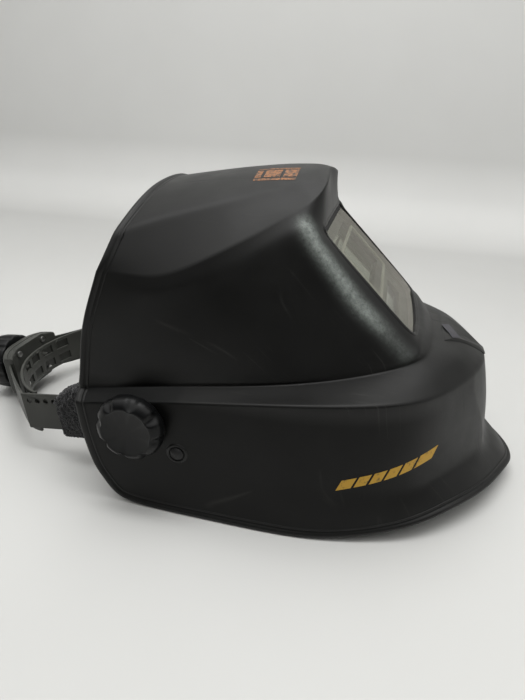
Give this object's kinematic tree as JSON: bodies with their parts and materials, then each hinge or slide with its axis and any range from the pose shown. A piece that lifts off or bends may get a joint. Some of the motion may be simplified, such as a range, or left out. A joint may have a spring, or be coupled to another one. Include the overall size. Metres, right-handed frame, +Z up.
{
  "type": "welding helmet",
  "caption": "Flip-up welding helmet with a moulded shell, angled filter window, side tension knobs and a ratchet-adjusted headband, resting on its jaw rim.",
  "frame": {"origin": "on the floor under the middle of the overall length and width, as the helmet rests on its jaw rim", "axes": "+X forward out of the chin, +Y the wearer's left, +Z up; this is the resting pose, not the worn one"},
  "size_m": [0.4562, 0.268, 0.219],
  "materials": {
    "shell_plastic": "semi-matte moulded charcoal black, finely scuffed",
    "knob_plastic": "satin moulded black",
    "band_plastic": "satin grey-black flexible plastic",
    "black_plastic": "satin moulded black",
    "cartridge_plastic": "fine-textured black",
    "control_plastic": "dark grey moulded",
    "test_button": "dull red rubber",
    "clear_lens": "clear polycarbonate, faintly scratched",
    "filter_glass": "dark green filter glass",
    "sensor_window": "dark red lens",
    "solar_cell": "blue-black cell",
    "circuit_board": "green board",
    "black_rubber": "matt",
    "steel": "plated",
    "sweatband": "quilted sweat cloth over foam",
    "sleeve_cloth": "black looped towelling"
  },
  "bodies": {
    "shell": {"shell": "shell_plastic", "cover_lens": "clear_lens", "lens_gasket": "black_rubber", "cartridge_bezel": "cartridge_plastic", "filter_glass": "filter_glass", "solar_cell": "solar_cell", "circuit_board": "circuit_board", "arc_sensor_left": "sensor_window", "arc_sensor_right": "sensor_window", "cartridge_tray": "cartridge_plastic", "inner_lens": "clear_lens", "battery": "steel", "cartridge_holder": "black_plastic", "holder_screws": "steel", "friction_washer_left": "black_rubber", "friction_washer_right": "black_rubber", "stop_pin": "black_plastic"},
    "headgear": {"pivot_bolt_left": "black_plastic", "pivot_bolt_right": "black_plastic", "pivot_arm_left": "black_plastic", "pivot_arm_right": "black_plastic", "tilt_stop_plate": "black_plastic", "arm_rivets": "black_plastic", "headband": "band_plastic", "crown_strap_left": "band_plastic", "crown_strap_right": "band_plastic", "crown_snaps": "black_plastic", "crown_rivets": "black_plastic", "brow_pad": "sweatband", "side_sleeve_left": "sleeve_cloth", "side_sleeve_right": "sleeve_cloth"},
    "rear_adjuster": {"rear_strap_left": "band_plastic", "rear_strap_right": "band_plastic", "ratchet_housing": "band_plastic", "ratchet_cover": "band_plastic", "case_screws": "steel", "nape_band": "band_plastic", "click_spring": "steel"},
    "ratchet_dial": {"ratchet_knob": "knob_plastic", "pinion": "black_plastic"},
    "washer_left": {"tension_washer_left": "black_plastic"},
    "washer_right": {"tension_washer_right": "black_plastic"},
    "knob_left": {"side_knob_left": "knob_plastic"},
    "knob_right": {"side_knob_right": "knob_plastic"},
    "battery_cap": {"battery_cap": "control_plastic"},
    "shade_knob": {"shade_knob": "control_plastic"},
    "sensitivity_knob": {"sensitivity_knob": "control_plastic"},
    "delay_knob": {"delay_knob": "control_plastic"},
    "test_button": {"test_button": "test_button"},
    "cartridge_bail": {"cartridge_bail": "steel"}
  },
  "joints": [
    {"name": "headgear_tilt", "type": "hinge", "parent": "shell", "child": "headgear", "pos_m": [-0.0313, 0, 0.068], "axis": [0, 1, 0], "range_deg": [-42, 36]},
    {"name": "band_length", "type": "slide", "parent": "headgear", "child": "rear_adjuster", "axis": [0.993, 0, 0.1184], "range_m": [-0.012, 0.014]},
    {"name": "ratchet_turn", "type": "hinge", "parent": "rear_adjuster", "child": "ratchet_dial", "pos_m": [-0.2058, 0, 0.02806], "axis": [0.993, 0, 0.1184], "range_deg": [-125, 145]},
    {"name": "clamp_left", "type": "slide", "parent": "shell", "child": "washer_left", "axis": [0, 1, 0], "range_m": [0, 0.0019]},
    {"name": "clamp_right", "type": "slide", "parent": "shell", "child": "washer_right", "axis": [0, -1, 0], "range_m": [0, 0.0019]},
    {"name": "knob_turn_left", "type": "hinge", "parent": "washer_left", "child": "knob_left", "pos_m": [-0.0313, 0.128, 0.068], "axis": [0, 1, 0], "range_deg": [0, 540]},
    {"name": "knob_turn_right", "type": "hinge", "parent": "washer_right", "child": "knob_right", "pos_m": [-0.0313, -0.128, 0.068], "axis": [0, -1, 0], "range_deg": [0, 540]},
    {"name": "battery_cap_turn", "type": "hinge", "parent": "shell", "child": "battery_cap", "pos_m": [0.11463, -0.038, 0.12233], "axis": [-0.6896, 0, -0.7242], "range_deg": [0, 50]},
    {"name": "shade_turn", "type": "hinge", "parent": "shell", "child": "shade_knob", "pos_m": [0.11325, -0.013, 0.12088], "axis": [-0.6896, 0, -0.7242], "range_deg": [-135, 135]},
    {"name": "sensitivity_turn", "type": "hinge", "parent": "shell", "child": "sensitivity_knob", "pos_m": [0.11325, 0.007, 0.12088], "axis": [-0.6896, 0, -0.7242], "range_deg": [-135, 135]},
    {"name": "delay_turn", "type": "hinge", "parent": "shell", "child": "delay_knob", "pos_m": [0.11325, 0.025, 0.12088], "axis": [-0.6896, 0, -0.7242], "range_deg": [-135, 135]},
    {"name": "test_press", "type": "slide", "parent": "shell", "child": "test_button", "axis": [0.6896, 0, 0.7242], "range_m": [0, 0.0012], "stiffness_N_per_m": 400, "springref_m": -0.001},
    {"name": "bail_swing", "type": "hinge", "parent": "shell", "child": "cartridge_bail", "pos_m": [0.1256, 0, 0.10774], "axis": [0, 1, 0], "range_deg": [-75, 0]}
  ],
  "couplings": [
    {"joint": "band_length", "follows": "ratchet_turn", "m_per_rad": 0.0054},
    {"joint": "clamp_left", "follows": "knob_turn_left", "m_per_rad": 0.00019894},
    {"joint": "clamp_right", "follows": "knob_turn_right", "m_per_rad": 0.00019894}
  ]
}
